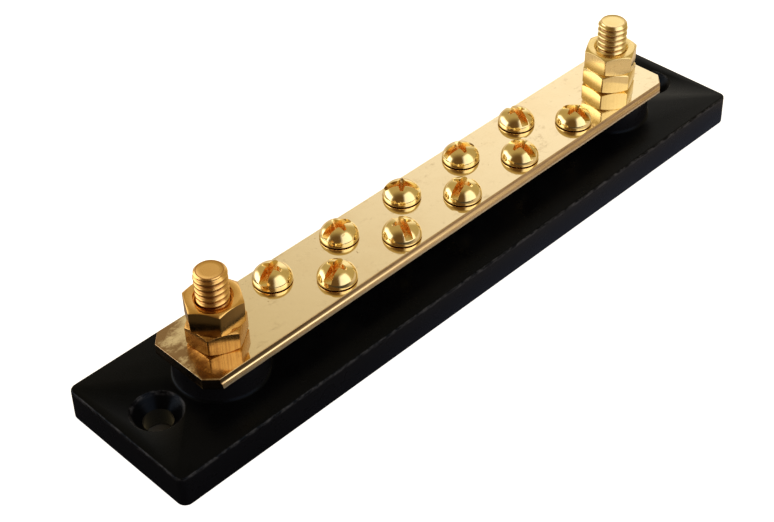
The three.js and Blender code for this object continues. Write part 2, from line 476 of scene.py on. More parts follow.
def bar_tarnish_and_painted_light(nodes, colour, rough):
    """The bar's long sides in a darker gold as painted shade, with painted shade lines and a painted
    reflection line, and brown tarnish at its left end and along its back edge.
    """
    normal = nodes.add("ShaderNodeNewGeometry").outputs["Normal"]
    sideways = nodes.remap(nodes.absolute(nodes.part(normal, "Y")), 0.1, 0.6)
    not_endways = nodes.remap(nodes.absolute(nodes.part(normal, "X")), 0.3, 0.6, 1.0, 0.0)
    long_side = nodes.times(sideways, not_endways)
    # The long sides get a darker gold as painted shade.
    colour = nodes.mix(long_side, colour, SHADED_SIDE_GOLD)
    z = nodes.part(nodes.place, "Z")

    def line(height, reach, strength):
        """A line along both sides, full strength at the height and gone past the reach, in millimetres."""
        distance = nodes.absolute(nodes.math("SUBTRACT", z, height * MM))
        return nodes.times(nodes.remap(distance, 0.0, reach * MM, strength, 0.0), long_side)

    streak = nodes.remap(nodes.noise((0.12, 1.0, 3.0), 3, 0.6), 0.35, 0.65, 0.6, 1.0)
    # A painted shade line under the top edge of both long sides.
    painted_corner_shade = line(BAR_TOP - 0.2, 0.9, 0.7)
    # A painted pale reflection line low down on both long sides.
    painted_reflection_line = line(BAR_LOW.z + 0.45, 0.34, 1.0)
    # Painted shade on the long sides, growing towards the right end and streaked.
    painted_right_shade = nodes.times(nodes.along("X", -12, 30, 0.0, 0.55), long_side)
    rough_side = nodes.times(nodes.along("Z", BAR_TOP - 1.45, BAR_TOP - 1.25, 0.42, 0.0), long_side)
    painted_side_shade = nodes.times(nodes.larger(painted_corner_shade, painted_right_shade), streak)

    mottle = nodes.noise((0.55, 0.9, 1.0), 5, 0.7, turn=24)
    blotch = nodes.noise(0.3, 4, 0.65)
    left_end = nodes.along("X", BAR_LOW.x - 0.4, BAR_LOW.x + 11.1, 0.66, 0.0)
    back_edge = nodes.along("Y", BAR_HIGH.y - 3.7, BAR_HIGH.y - 0.2, 0.0, 0.3)
    back_edge = nodes.times(back_edge, nodes.along("X", -20, 35, 1.0, 0.35))
    amount = nodes.times(nodes.times(mottle, blotch), 3.2)
    top_brown = nodes.remap(nodes.times(amount, nodes.plus(left_end, back_edge)), 0.2, 0.56, 0.0, 0.85)
    faint = nodes.times(nodes.remap(blotch, 0.5, 0.68), nodes.remap(mottle, 0.46, 0.66, 0.0, 0.26))
    brown = nodes.larger(nodes.larger(top_brown, faint), painted_side_shade)
    # The brown is tarnish on the top and painted shade on the sides.
    colour = nodes.mix(brown, colour, BAR_BROWN)
    colour = nodes.mix(painted_reflection_line, colour, PAINTED_REFLECTION_GOLD)

    dullness = nodes.plus(nodes.times(brown, 0.22), nodes.times(painted_reflection_line, 0.3))
    rough = nodes.plus(rough, nodes.times(long_side, 0.08))
    rough = nodes.plus(rough, nodes.larger(rough_side, dullness))
    return colour, rough, [(nodes.noise(1.3, 3), 0.12, 0.008)]


def recess_wear_and_painted_shade(nodes, colour, rough):
    """Thinner, redder and rougher plating down in a screw's recess, darker with depth as painted shade, and
    a painted dark red shadow under its head.
    """
    thin_gold_and_shade = (0.92, 0.53, 0.17)
    painted_gap_shadow = (0.2, 0.03, 0.008)
    depth = nodes.add("ShaderNodeAttribute", attribute_name="recess_depth").outputs["Fac"]
    deep = nodes.remap(depth, 0.1, 1.3)
    # Redder and darker with depth: thinner plating and painted shade. Then a painted dark red shadow in the
    # gap.
    colour = nodes.mix(deep, colour, thin_gold_and_shade)
    colour = nodes.mix(nodes.remap(depth, 3.0, 5.0), colour, painted_gap_shadow)
    rough = nodes.plus(rough, nodes.times(deep, 0.14))
    burr = nodes.times(nodes.noise(2.6, 3), deep)
    return colour, rough, [(burr, 0.9, 0.2)]


def milled_wear(strength):
    """Upright milling lines on the flats of a nut, and a few pits in its plating."""
    pit_brown = (0.36, 0.17, 0.06)

    def piece_extras(nodes, colour, rough):
        lines = nodes.noise((3.6, 3.6, 0.1), 2, 0.6)
        pits = nodes.times(nodes.remap(nodes.noise(2.2, 2), 0.66, 0.78), 0.4)
        dark = nodes.larger(pits, nodes.remap(lines, 0.46, 0.62, 0.0, 0.4 * strength))
        colour = nodes.mix(dark, colour, pit_brown)
        return colour, rough, [(lines, 0.6 * strength, 0.05)]

    return piece_extras


def thread_painted_shade(nodes, colour, rough):
    """Painted shade, brown and patchy, down in a stud's thread and round the rim of its end face, with
    rougher plating there.
    """
    painted_groove_shade = (0.3, 0.1, 0.03)
    depth = nodes.add("ShaderNodeAttribute", attribute_name="groove_depth").outputs["Fac"]
    patch = nodes.remap(nodes.noise(0.9, 3), 0.3, 0.6, 0.55, 1.0)
    # Painted shade in the thread's roots and round the end face's rim.
    deep = nodes.times(nodes.remap(depth, 0.35, 1.0), patch)
    colour = nodes.mix(nodes.times(deep, 0.75), colour, painted_groove_shade)
    rough = nodes.plus(rough, nodes.times(deep, 0.1))
    return colour, rough, []


# The plastic's colours, darkest first: its top, duller patches of the top, mould grain, its sides,
# dust and scuffs, and the painted highlight along its top edge.
DEEP_BLACK = (0.0022, 0.0022, 0.003)
PATCH_BLACK = (0.005, 0.005, 0.0066)
GRAIN_BLACK = (0.012, 0.012, 0.016)
SIDE_BLACK = (0.013, 0.0135, 0.018)
DUST_GREY = (0.022, 0.023, 0.028)
EDGE_SHEEN_GREY = (0.075, 0.077, 0.09)


def moulded_plastic(name):
    """Black plastic off the mould: grain, dull patches, pale dust, long scuffs and a patchy painted
    highlight along its top edge.
    """
    nodes = Nodes(name)
    grain = nodes.noise(6.0, 4, 0.65)
    patch = nodes.noise(0.12, 4, 0.6)
    dust = nodes.remap(nodes.noise(1.9, 3), 0.69, 0.78)
    scuff = nodes.remap(nodes.noise((0.12, 3.2, 1.0), 3, turn=38), 0.68, 0.74)
    scuff = nodes.times(scuff, nodes.remap(nodes.noise(0.1, 2), 0.45, 0.62))
    marks = nodes.larger(nodes.times(dust, 0.6), nodes.times(scuff, 0.5))

    upright = nodes.part(nodes.add("ShaderNodeNewGeometry").outputs["Normal"], "Z")
    # A patchy painted highlight on the rounding of the slab's top edge.
    not_boss = nodes.along("Z", SLAB_TOP - 0.02, SLAB_TOP + 0.1, 1.0, 0.0)
    near_top = nodes.along("Z", SLAB_TOP - 0.9, SLAB_TOP - 0.3)
    painted_edge_sheen = nodes.times(nodes.remap(upright, 0.99, 0.8), nodes.times(not_boss, near_top))
    painted_edge_sheen = nodes.times(painted_edge_sheen, nodes.remap(nodes.noise((0.5, 0.5, 1.5), 4, 0.7), 0.38, 0.66))
    side = nodes.remap(nodes.absolute(upright), 0.6, 0.2)

    colour = nodes.mix(nodes.remap(patch, 0.35, 0.7), DEEP_BLACK, PATCH_BLACK)
    colour = nodes.mix(side, colour, SIDE_BLACK)
    colour = nodes.mix(nodes.remap(grain, 0.35, 0.7, 0.0, 0.3), colour, GRAIN_BLACK)
    colour = nodes.mix(marks, colour, DUST_GREY)
    colour = nodes.mix(painted_edge_sheen, colour, EDGE_SHEEN_GREY)
    nodes.link(colour, nodes.shader.inputs["Base Color"])
    dull = nodes.remap(patch, 0.3, 0.75, 0.24, 0.34)
    rough = nodes.plus(dull, nodes.times(nodes.larger(marks, painted_edge_sheen), 0.18))
    nodes.link(rough, nodes.shader.inputs["Roughness"])
    nodes.set(Specular_IOR_Level=0.15, Specular_Tint=(0.5, 0.68, 1.0, 1.0))
    nodes.bump([(nodes.noise(0.18, 2), 0.4, 0.05), (grain, 0.5, 0.02)])
    return nodes.material


plastic = moulded_plastic("black_moulding")
# Each pair is a plating's tint and its tarnish. The pieces at the left end are browner in the photo.
BAR = ((0.95, 0.845, 0.645), (0.89, 0.745, 0.52))
SCREW = ((0.95, 0.8, 0.46), (0.88, 0.68, 0.33))
LEFT_NUT = ((0.84, 0.56, 0.23), (0.74, 0.44, 0.15))
RIGHT_NUT = ((0.95, 0.79, 0.44), (0.9, 0.7, 0.34))
LOW_LEFT_NUT = ((0.66, 0.41, 0.15), (0.56, 0.31, 0.1))
LEFT_STUD = ((0.86, 0.58, 0.25), (0.74, 0.42, 0.13))
RIGHT_STUD = ((0.95, 0.8, 0.46), (0.9, 0.68, 0.3))
FINE_LINES = milled_wear(0.12)
COARSE_LINES = milled_wear(1.0)
# After its colours, each plating has its roughness, and how strong its stains and its scratches are.
bar_gold = plated_metal("bar_plating", *BAR, 0.03, 0.8, 0.5, bar_tarnish_and_painted_light)
screw_gold = plated_metal("screw_plating", *SCREW, 0.12, 0.4, 0.35, recess_wear_and_painted_shade)
NUT_GOLD = {
    "upper_nut_left": plated_metal("upper_left_nut_plating", *LEFT_NUT, 0.15, 0.5, 0.35, FINE_LINES),
    "lower_nut_left": plated_metal("lower_left_nut_plating", *LOW_LEFT_NUT, 0.24, 0.6, 0.35, COARSE_LINES),
    "upper_nut_right": plated_metal("upper_right_nut_plating", *RIGHT_NUT, 0.24, 0.4, 0.35, FINE_LINES),
    "lower_nut_right": plated_metal("lower_right_nut_plating", *RIGHT_NUT, 0.16, 0.4, 0.35, FINE_LINES),
}
STUD_GOLD = {
    "left": plated_metal("left_stud_plating", *LEFT_STUD, 0.22, 0.5, 0.2, thread_painted_shade),
    "right": plated_metal("right_stud_plating", *RIGHT_STUD, 0.17, 0.4, 0.2, thread_painted_shade),
}


# ---------------------------------------------------------------- the base


def base_slab():
    """The slab: a little draft on its sides, a rounded top edge and a small chamfer below."""
    levels = [(0.25, 0.0), (0.06, 0.1), (0.0, 0.3), (BASE_DRAFT, SLAB_TOP - BASE_FILLET)]
    for reach, z in arc((0.0, SLAB_TOP - BASE_FILLET), BASE_FILLET, 0, 90, 4)[1:]:
        levels.append((BASE_DRAFT + BASE_FILLET - reach, z))
    rings = []
    for inset, z in levels:
        size = (BASE_LENGTH - 2 * inset, BASE_WIDTH - 2 * inset)
        rings.append(outline_ring(*size, BASE_CORNER - inset, z))
    return new_object("base_moulding", *skin(rings))


def boss(x):
    """A round boss with a fillet where it meets the slab and a softened top edge."""
    foot = 0.7
    soft = 0.25
    sunk = 1.5
    profile = [(BOSS_RADIUS + foot, SLAB_TOP - sunk), (BOSS_RADIUS + foot, SLAB_TOP)]
    profile += arc((BOSS_RADIUS + foot, SLAB_TOP + foot), foot, 270, 180, 5)[1:]
    profile += arc((BOSS_RADIUS - soft, BOSS_TOP - soft), soft, 0, 90, 3)
    return new_object("boss", *skin(turned_rings(profile)), place=(x, 0, 0))


def countersunk_hole(x):
    """The cutter for a mounting hole: a straight bore, a cone and a softened mouth."""
    seat = SLAB_TOP - COUNTERSINK_DEPTH
    lip = 0.15
    profile = [
        (MOUNT_HOLE_RADIUS + 0.3, -1.0),
        (MOUNT_HOLE_RADIUS + 0.3, 0.0),
        (MOUNT_HOLE_RADIUS, 0.3),
        (MOUNT_HOLE_RADIUS, seat),
        (COUNTERSINK_RADIUS - lip, SLAB_TOP - 1.3 * lip),
        (COUNTERSINK_RADIUS - 0.3 * lip, SLAB_TOP - 0.4 * lip),
        (COUNTERSINK_RADIUS + lip, SLAB_TOP + 0.02),
        (COUNTERSINK_RADIUS + lip, SLAB_TOP + 1.0),
    ]
    return new_object("hole_cutter", *skin(turned_rings(profile)), place=(x, 0, 0))


def stud_hole(x):
    """The cutter for a stud's hole through the boss."""
    radius = STUD_RADIUS + SHANK_CLEARANCE
    flare = 0.3
    profile = [
        (radius, 1.0),
        (radius, BOSS_TOP - flare),
        (radius + flare, BOSS_TOP + 0.01),
        (radius + flare, BOSS_TOP + 1),
    ]
    return new_object("stud_hole_cutter", *skin(turned_rings(profile, 64)), place=(x, 0, 0))


def head_pocket(x):
    """The cutter for the hex pocket that keeps a stud from turning."""
    top = box_mm("stud_left")[0].z + BOLT_HEAD_HEIGHT + POCKET_CLEARANCE
    flats = HEX_FLATS + 2 * POCKET_CLEARANCE
    levels = [(0.35, -1.0), (0.35, 0.0), (0.0, 0.35), (0.0, top)]
    rings = []
    for flare, z in levels:
        rings.append(ring(HEX_ANGLES, lambda angle, f=flare: hex_radius(angle, flats + 2 * f, 0.6), z))
    return new_object("pocket_cutter", *skin(rings), place=(x, 0, 0))


def cell(column, row):
    """The cutter for one cored-out cell under the base, narrower towards its roof."""
    length, width = CELL_SIZE
    x = (column - (CELL_COUNT[0] - 1) / 2) * (length + CELL_RIB)
    y = (row - (CELL_COUNT[1] - 1) / 2) * (width + CELL_RIB)
    flare = 0.2
    levels = [
        (-flare, -1.0),
        (-flare, 0.0),
        (0.0, flare),
        (0.15, CELL_DEPTH - 0.5),
        (0.28, CELL_DEPTH - 0.15),
        (0.6, CELL_DEPTH),
    ]
    rings = []
    for inset, z in levels:
        rings.append(outline_ring(length - 2 * inset, width - 2 * inset, CELL_CORNER - inset, z, 4))
    return new_object("cell_cutter", *skin(rings), place=(x, y, 0))


def ejector_mark(x, y):
    """The cutter for the shallow round mark that an ejector pin leaves."""
    profile = [(1.75, -1.0), (1.75, 0.08), (1.65, 0.15)]
    return new_object("mark_cutter", *skin(turned_rings(profile, 40)), place=(x, y, 0))


def make_base():
    """The base: slab and bosses, with everything cut out of them."""
    slab = base_slab()
    stud_x = centre_of("stud_right").x
    combine(slab, [boss(-stud_x), boss(stud_x)], "UNION")
    cutters = []
    for side in (-1, 1):
        cutters.append(countersunk_hole(side * MOUNT_HOLE_X))
        cutters.append(stud_hole(side * stud_x))
        cutters.append(head_pocket(side * stud_x))
        for x, y in EJECTOR_MARKS:
            cutters += [ejector_mark(side * x, -y), ejector_mark(side * x, y)]
    cutters += [cell(column, row) for column in range(CELL_COUNT[0]) for row in range(CELL_COUNT[1])]
    combine(slab, cutters, "DIFFERENCE")
    shade(slab, 38)
    finish_piece(slab, plastic, "block", "base")


# ---------------------------------------------------------------- the bar


def screw_place(node):
    """Where a screw's axis is, as x and y in millimetres."""
    middle = centre_of(node)
    return middle.x, middle.y


def rounded(depth, radius):
    """How far an edge of this radius has drawn in at this depth from the face it ends at."""
    if depth >= radius:
        return 0.0
    return radius - math.sqrt(radius**2 - (radius - depth) ** 2)


# The bar's long sides, as (depth below its top, how far drawn in), from the bottom up: a lean,
# a bevel, an upright step and a small rounding.
SIDE_PROFILE = (
    (1.75, 0.05),
    (1.4, 0.085),
    (1.3, 0.11),
    (1.2, 0.165),
    (1.05, 0.25),
    (0.95, 0.3),
    (0.85, 0.33),
    (0.6, 0.345),
    (0.3, 0.36),
    (0.2, 0.37),
    (0.12, 0.385),
    (0.06, 0.41),
    (0.02, 0.44),
    (0.0, 0.48),
)


def make_bar():
    """The plate: drawn with shaped long sides, cut to length with crisp ends, then drilled and tapped."""
    size = (BAR_HIGH.x - BAR_LOW.x, BAR_HIGH.y - BAR_LOW.y)
    steps = 4
    rings = []
    for step in range(steps + 1):
        rise = BAR_BOTTOM_ROUND * (1 - math.cos(math.pi / 2 * step / steps))
        inset = rounded(rise, BAR_BOTTOM_ROUND)
        rings.append(chamfered_ring(*size, BAR_CHAMFER, inset, inset, BAR_LOW.z + rise))
    for depth, side_inset in SIDE_PROFILE:
        insets = (rounded(depth, BAR_END_ROUND), side_inset)
        rings.append(chamfered_ring(*size, BAR_CHAMFER, *insets, BAR_TOP - depth))
    # A flat border round the top keeps the rounded edges' smooth shading off the mirror face.
    border = 0.05
    insets = (BAR_END_ROUND + border, SIDE_PROFILE[-1][1] + border)
    rings.append(chamfered_ring(*size, BAR_CHAMFER, *insets, BAR_TOP))
    bar = new_object("bar_plate", *skin(rings))
    radius = STUD_RADIUS + SHANK_CLEARANCE
    plain_hole = turned_rings([(radius, BAR_LOW.z - 1), (radius, BAR_TOP + 1)], 72)
    holes = []
    for end in ENDS:
        x = centre_of(f"stud_{end}").x
        holes.append(new_object("hole_cutter", *skin(plain_hole), place=(x, 0, 0)))
    for node in SCREWS:
        x, y = screw_place(node)
        holes.append(tapped_hole(x, y))
    combine(bar, holes, "DIFFERENCE")
    shade(bar, 28)
    finish_piece(bar, bar_gold, "block", "bus_bar")


def tapped_hole(x, y):
    """The cutter for one M4 tapped hole, chamfered at both faces."""
    angles = even_angles(32)
    crest = SCREW_RADIUS + 0.06
    thread_depth = 0.3
    flare = 0.4
    rings = [ring(angles, crest + flare, BAR_LOW.z - 1), ring(angles, crest + flare, BAR_LOW.z)]
    rings += thread_rings(angles, crest, -thread_depth, SCREW_PITCH, BAR_LOW.z + flare, BAR_TOP - flare)
    rings += [ring(angles, crest + flare, BAR_TOP), ring(angles, crest + flare, BAR_TOP + 1)]
    return new_object("tapped_hole_cutter", *skin(rings), place=(x, y, 0))


# ---------------------------------------------------------------- studs and nuts


def make_stud(end):
    """A hex-head bolt: its head sits in the base's pocket and its thread stands above the bar."""
    node = f"stud_{end}"
    low, high = box_mm(node)
    head_top = low.z + BOLT_HEAD_HEIGHT
    face = HEX_FLATS / 2 * 0.94
    under_head = 0.25
    thread_start = BAR_TOP - 1.0

    def corner(angle):
        return hex_radius(angle, HEX_FLATS, 0.35)

    def chamfer(angle):
        return low.z + (corner(angle) - face) * HEX_CHAMFER_SLOPE

    rings = [
        ring(HEX_ANGLES, face * 0.5, low.z),
        ring(HEX_ANGLES, face, low.z),
        ring(HEX_ANGLES, corner, chamfer),
        ring(HEX_ANGLES, corner, head_top),
        ring(HEX_ANGLES, STUD_RADIUS + under_head, head_top),
        ring(HEX_ANGLES, STUD_RADIUS, head_top + under_head),
        ring(HEX_ANGLES, STUD_RADIUS, thread_start - 0.2),
    ]
    thread = (STUD_RADIUS, STUD_THREAD_DEPTH, STUD_PITCH)
    rings += thread_rings(HEX_ANGLES, *thread, thread_start, high.z, 0.4, STUD_END_CHAMFER)
    face_edge = STUD_RADIUS - STUD_END_CHAMFER - 0.06
    sunk = 0.05
    for inset, drop in ((0.0, 0.0), (0.12, 0.0), (0.24, sunk), (0.9, sunk)):
        rings.append(ring(HEX_ANGLES, face_edge - inset, high.z - drop))
    axis = Vector((centre_of(node).x, 0, 0))
    stud = new_object(f"threaded_{node}", *skin(rings), place=axis)
    shade(stud, 40)
    # The depths set the painted shade in the thread's roots and round the end face's rim.
    mark_depths(stud, "groove_depth", lambda point: groove_depth(point - axis, high.z, face_edge))
    finish_piece(stud, STUD_GOLD[end], "block", node)


def groove_depth(point, top, face_edge):
    """How deep a point is in a stud's thread, from 0 at its crest to 1 at its root.

    The rim of the end face counts as nearly as deep, and the rest of that face and its chamfer as 0.
    """
    reach = math.hypot(point.x, point.y)
    if reach < face_edge - 0.2:
        return 0.0
    if reach < face_edge + 0.01:
        return 0.9
    if point.z >= top - STUD_END_CHAMFER:
        return 0.0
    return min((STUD_RADIUS - reach) / STUD_THREAD_DEPTH, 1)


def make_nut(node):
    """A hex nut, chamfered at both ends, with a threaded bore."""
    low, high = box_mm(node)
    height = high.z - low.z
    face = HEX_FLATS / 2 * 0.97
    mouth = NUT_BORE_CREST + 0.5
    thread_start = 0.45

    def corner(angle):
        return hex_radius(angle, HEX_FLATS, 0.3)

    def chamfer(angle):
        return (corner(angle) - face) * HEX_CHAMFER_SLOPE

    rings = [
        ring(HEX_ANGLES, mouth, 0),
        ring(HEX_ANGLES, face, 0),
        ring(HEX_ANGLES, corner, chamfer),
        ring(HEX_ANGLES, corner, lambda angle: height - chamfer(angle)),
        ring(HEX_ANGLES, face, height),
        ring(HEX_ANGLES, mouth, height),
    ]
    thread = (NUT_BORE_CREST, -NUT_THREAD_DEPTH, STUD_PITCH)
    rings += reversed(thread_rings(HEX_ANGLES, *thread, thread_start, height - thread_start))
    middle = centre_of(node)
    place = (middle.x, middle.y, low.z)
    nut = new_object(f"{node}_hex", *skin(rings, capped=False), place=place, turn=NUT_TURNS[node])
    soften(nut, 0.12, 24)
    shade(nut, 40)
    finish_piece(nut, NUT_GOLD[node], node, node)


# ---------------------------------------------------------------- terminal screws


def recess_star(reach, tip, root, z):
    """One loop of a four-armed star: half its arms' width is tip at their ends and root in the middle."""
    points = []
    for quarter in range(4):
        turn = quarter * math.pi / 2
        cos = math.cos(turn)
        sin = math.sin(turn)
        for x, y in ((reach, -tip), (reach, tip), (root, root)):
            points.append((x * cos - y * sin, x * sin + y * cos, z))
    return points


def make_screw_mesh():
    """A round-head screw with its head on z = 0, its slot along X, and a cross recess."""
    angles = even_angles(96)
    tip = -SCREW_LENGTH
    tip_chamfer = 0.45
    thread_top = -0.45
    rings = [ring(angles, SCREW_RADIUS - tip_chamfer - 0.1, tip)]
    thread = (SCREW_RADIUS, SCREW_THREAD_DEPTH, SCREW_PITCH)
    rings += thread_rings(angles, *thread, tip + 0.02, thread_top, tip_chamfer)
    seat = HEAD_RADIUS - 0.7
    profile = [
        (SCREW_RADIUS - 0.1, -0.3),
        (SCREW_RADIUS, -0.15),
        (SCREW_RADIUS + 0.15, 0.0),
        (seat, 0.0),
        (seat, HEAD_GAP),
        (HEAD_RADIUS - 0.05, HEAD_GAP),
        (HEAD_RADIUS - 0.01, HEAD_GAP + 0.07),
        (HEAD_RADIUS, HEAD_RIM),
    ]
    steps = 22
    for step in range(1, steps):
        angle = math.pi / 2 * step / steps
        height = HEAD_RIM + (HEAD_HEIGHT - HEAD_RIM) * math.sin(angle)
        profile.append((HEAD_RADIUS * math.cos(angle), height))
    rings += [ring(angles, r, z) for r, z in profile]
    screw = new_object("screw_pattern", *skin(rings))
    half = SLOT_WIDTH / 2
    slot_reach = 5.0
    slot_rings = []
    for z, spread in ((SLOT_FLOOR, 0.0), (HEAD_HEIGHT + 1, 0.03)):
        x, y = slot_reach, half + spread
        slot_rings.append([(x, -y, z), (x, y, z), (-x, y, z), (-x, -y, z)])
    slot_cutter = new_object("slot_cutter", *skin(slot_rings))
    # Each loop, from the recess's floor up: how far its arms reach, half their width at their ends,
    # half of it in the middle, and the height.
    star = [
        recess_star(0.5, 0.1, 0.25, HEAD_HEIGHT - 2.9),
        recess_star(0.95, 0.16, 0.45, HEAD_HEIGHT - 2.5),
        recess_star(2.2, 0.3, 0.66, HEAD_HEIGHT - 0.35),
        recess_star(2.45, 0.34, 0.72, HEAD_HEIGHT + 0.5),
    ]
    star_cutter = new_object("star_cutter", *skin(star))
    combine(screw, [slot_cutter, star_cutter], "DIFFERENCE")
    soften(screw, 0.1, 34)
    shade(screw, 36)
    # The depths set the painted shade in the recess and the painted shadow under the head.
    mark_depths(screw, "recess_depth", recess_depth)
    return screw


def recess_depth(point):
    """How far below the round of the head a point is, in millimetres, or GAP_DEPTH in the gap under it."""
    reach = math.hypot(point.x, point.y)
    if point.z > HEAD_RIM:
        share = min(reach / HEAD_RADIUS, 1)
        dome = HEAD_RIM + (HEAD_HEIGHT - HEAD_RIM) * math.sqrt(1 - share**2)
        return max(dome - point.z, 0)
    in_gap = reach > SCREW_RADIUS + 0.5 and point.z < HEAD_GAP + 0.01
    return GAP_DEPTH if in_gap else 0


def make_screws():
    """Ten copies of the one screw, each turned as in the photo."""
    pattern = make_screw_mesh()
    for node, turn in zip(SCREWS, SLOT_TURNS):
        x, y = screw_place(node)
        mesh = pattern.data.copy()
        seat = (box_mm(node)[1].z - HEAD_HEIGHT) * MM
        spin = Matrix.Rotation(math.radians(turn), 4, "Z")
        mesh.transform(Matrix.Translation((x * MM, y * MM, seat)) @ spin)
        screw = bpy.data.objects.new(f"{node}_round_head", mesh)
        bpy.context.scene.collection.objects.link(screw)
        finish_piece(screw, screw_gold, node, node)
    mesh = pattern.data
    bpy.data.objects.remove(pattern)
    bpy.data.meshes.remove(mesh)


# ---------------------------------------------------------------- camera, floor and light

CAMERA_AZIMUTH = -44.155
CAMERA_ELEVATION = 40.519
CAMERA_ROLL = -1.638
CAMERA_DISTANCE = 311.0
CAMERA_TARGET = (-8.6, 4.69, 0.0)
CAMERA_LENS = 70.39

# How bright the camera sees the floor by its own light, which keeps it a plain white.
FLOOR_GLOW = 0.7
# How bright the floor glows as painted light in the metal's reflections: dim at the object's left end, and
# bright at the right and behind.
# The reach is in metres from the origin, towards the bright side's azimuth.
FLOOR_IN_REFLECTIONS = (0.03, 0.58)
FLOOR_DIM_REACH = (-0.072, 0.015)
FLOOR_BRIGHT_SIDE = 20
# Its colour in those reflections: warm, with a bluish painted shadow close to the black base.
FLOOR_REFLECTED_COLOUR = (1.0, 0.82, 0.64)
PAINTED_FLOOR_SHADOW_COLOUR = (0.3, 0.32, 0.4)
NEAR_BASE_REACH = (0.002, 0.011)
PAPER = ((0.9, 0.9, 0.9), (0.93, 0.93, 0.93))
# The paper under the base is painted dark grey as its shadow, seen through the mounting holes.
PAINTED_SHADOW_UNDER_BASE = (0.2, 0.2, 0.2)
PAPER_IN_REFLECTIONS = (0.04, 0.04, 0.04)
WHITE = (1.0, 1.0, 1.0)


def camera_axes():
    """The camera's right, up and back directions."""
    azimuth = math.radians(CAMERA_AZIMUTH)
    elevation = math.radians(CAMERA_ELEVATION)
    roll = math.radians(CAMERA_ROLL)
    out = math.cos(elevation)
    back = Vector((math.sin(azimuth) * out, -math.cos(azimuth) * out, math.sin(elevation)))
    level = (-back).cross(Vector((0, 0, 1))).normalized()
    upright = level.cross(-back)
    right = math.cos(roll) * level + math.sin(roll) * upright
    up = math.cos(roll) * upright - math.sin(roll) * level
    return right, up, back


def make_camera():
    """The camera that was fitted to the photo."""
    right, up, back = camera_axes()
    data = bpy.data.cameras.new("camera")
    data.lens = CAMERA_LENS
    data.clip_start = 0.01
    data.clip_end = 20
    camera = bpy.data.objects.new("camera", data)
    camera.matrix_world = Matrix(
        (
            (right.x, up.x, back.x, 0),
            (right.y, up.y, back.y, 0),
            (right.z, up.z, back.z, 0),
            (0, 0, 0, 1),
        )
    )
    camera.location = (Vector(CAMERA_TARGET) + back * CAMERA_DISTANCE) * MM
    bpy.context.scene.collection.objects.link(camera)
    bpy.context.scene.camera = camera


def make_floor():
    """White paper. The camera sees it plain, and the metal sees it glow with painted light from behind and
    from the right, and a painted shadow close to the base.
    """
    reach = 3000 * MM
    corners = [(-reach, -reach, 0), (reach, -reach, 0), (reach, reach, 0), (-reach, reach, 0)]
    mesh = bpy.data.meshes.new("floor")
    mesh.from_pydata(corners, [], [(0, 1, 2, 3)])
    floor = bpy.data.objects.new("floor", mesh)
    bpy.context.scene.collection.objects.link(floor)
    nodes = Nodes("floor_paper")
    seen = nodes.add("ShaderNodeLightPath").outputs["Is Camera Ray"]
    fibre = nodes.remap(nodes.noise(0.02, 4), 0.3, 0.7)
    paper = nodes.mix(fibre, *PAPER)
    away = nodes.add("ShaderNodeVectorMath", operation="DOT_PRODUCT")
    nodes.link(nodes.place, away.inputs[0])
    away.inputs[1].default_value = direction(FLOOR_BRIGHT_SIDE, 0)
    # The floor's glow in reflections is painted light, bright towards the right and behind.
    reflected = nodes.remap(away.outputs["Value"], *FLOOR_DIM_REACH, *FLOOR_IN_REFLECTIONS)
    past = []
    for axis, half in (("X", BASE_LENGTH / 2), ("Y", BASE_WIDTH / 2)):
        distance = nodes.absolute(nodes.part(nodes.place, axis))
        past.append(nodes.math("SUBTRACT", distance, (half - 1) * MM))
    beyond = nodes.larger(*past)
    outside = nodes.math("GREATER_THAN", beyond, 0.0)
    # A painted shadow on the floor close to the base, seen only in reflections.
    away_from_base = nodes.remap(beyond, *NEAR_BASE_REACH)
    reflected_colour = nodes.mix(away_from_base, PAINTED_FLOOR_SHADOW_COLOUR, FLOOR_REFLECTED_COLOUR)
    shaded = nodes.mix(outside, PAINTED_SHADOW_UNDER_BASE, paper)
    nodes.link(nodes.mix(seen, PAPER_IN_REFLECTIONS, shaded), nodes.shader.inputs["Base Color"])
    nodes.link(nodes.mix(seen, reflected_colour, WHITE), nodes.shader.inputs["Emission Color"])
    glow = nodes.blend(seen, reflected, FLOOR_GLOW)
    nodes.link(nodes.times(glow, outside), nodes.shader.inputs["Emission Strength"])
    nodes.set(Roughness=0.9, Specular_IOR_Level=0.1)
    # The floor is clear from below, and light passes it under the base, so the underside can be seen.
    backfacing = nodes.add("ShaderNodeNewGeometry").outputs["Backfacing"]
    solid = nodes.larger(outside, seen)
    clear = nodes.larger(backfacing, nodes.math("SUBTRACT", 1.0, solid))
    one_sided = nodes.add("ShaderNodeMixShader")
    nodes.link(clear, one_sided.inputs["Fac"])
    nodes.link(nodes.shader.outputs["BSDF"], one_sided.inputs[1])
    nodes.link(nodes.add("ShaderNodeBsdfTransparent").outputs["BSDF"], one_sided.inputs[2])
    nodes.link(one_sided.outputs["Shader"], nodes.tree.nodes["Material Output"].inputs["Surface"])
    mesh.materials.append(nodes.material)


def direction(azimuth, elevation):
    """A direction in degrees. Azimuth 0 is behind the object, and 90 is to the picture's right."""
    turn = math.radians(CAMERA_AZIMUTH + 90 - azimuth)
    rise = math.radians(elevation)
    return Vector((math.cos(turn) * math.cos(rise), math.sin(turn) * math.cos(rise), math.sin(rise)))


# Each light panel is the area between its corners, as (azimuth, elevation), lowest left first.
# Its edges fade over the softness in degrees, one for each edge, and the last number is its strength.
LIGHT_PANELS = (
    (((105, -8), (167, -8), (157, 66), (86, 58)), (6, 8, 6, 6), 0.85),
    (((-116, -8), (-41, -8), (-56, 24), (-116, 34)), (6, 7, 7, 7), 1.35),
    (((-12, -8), (35, -8), (35, 39.8), (-12, 39.8)), (6, 12, 14, 18), 0.53),
)
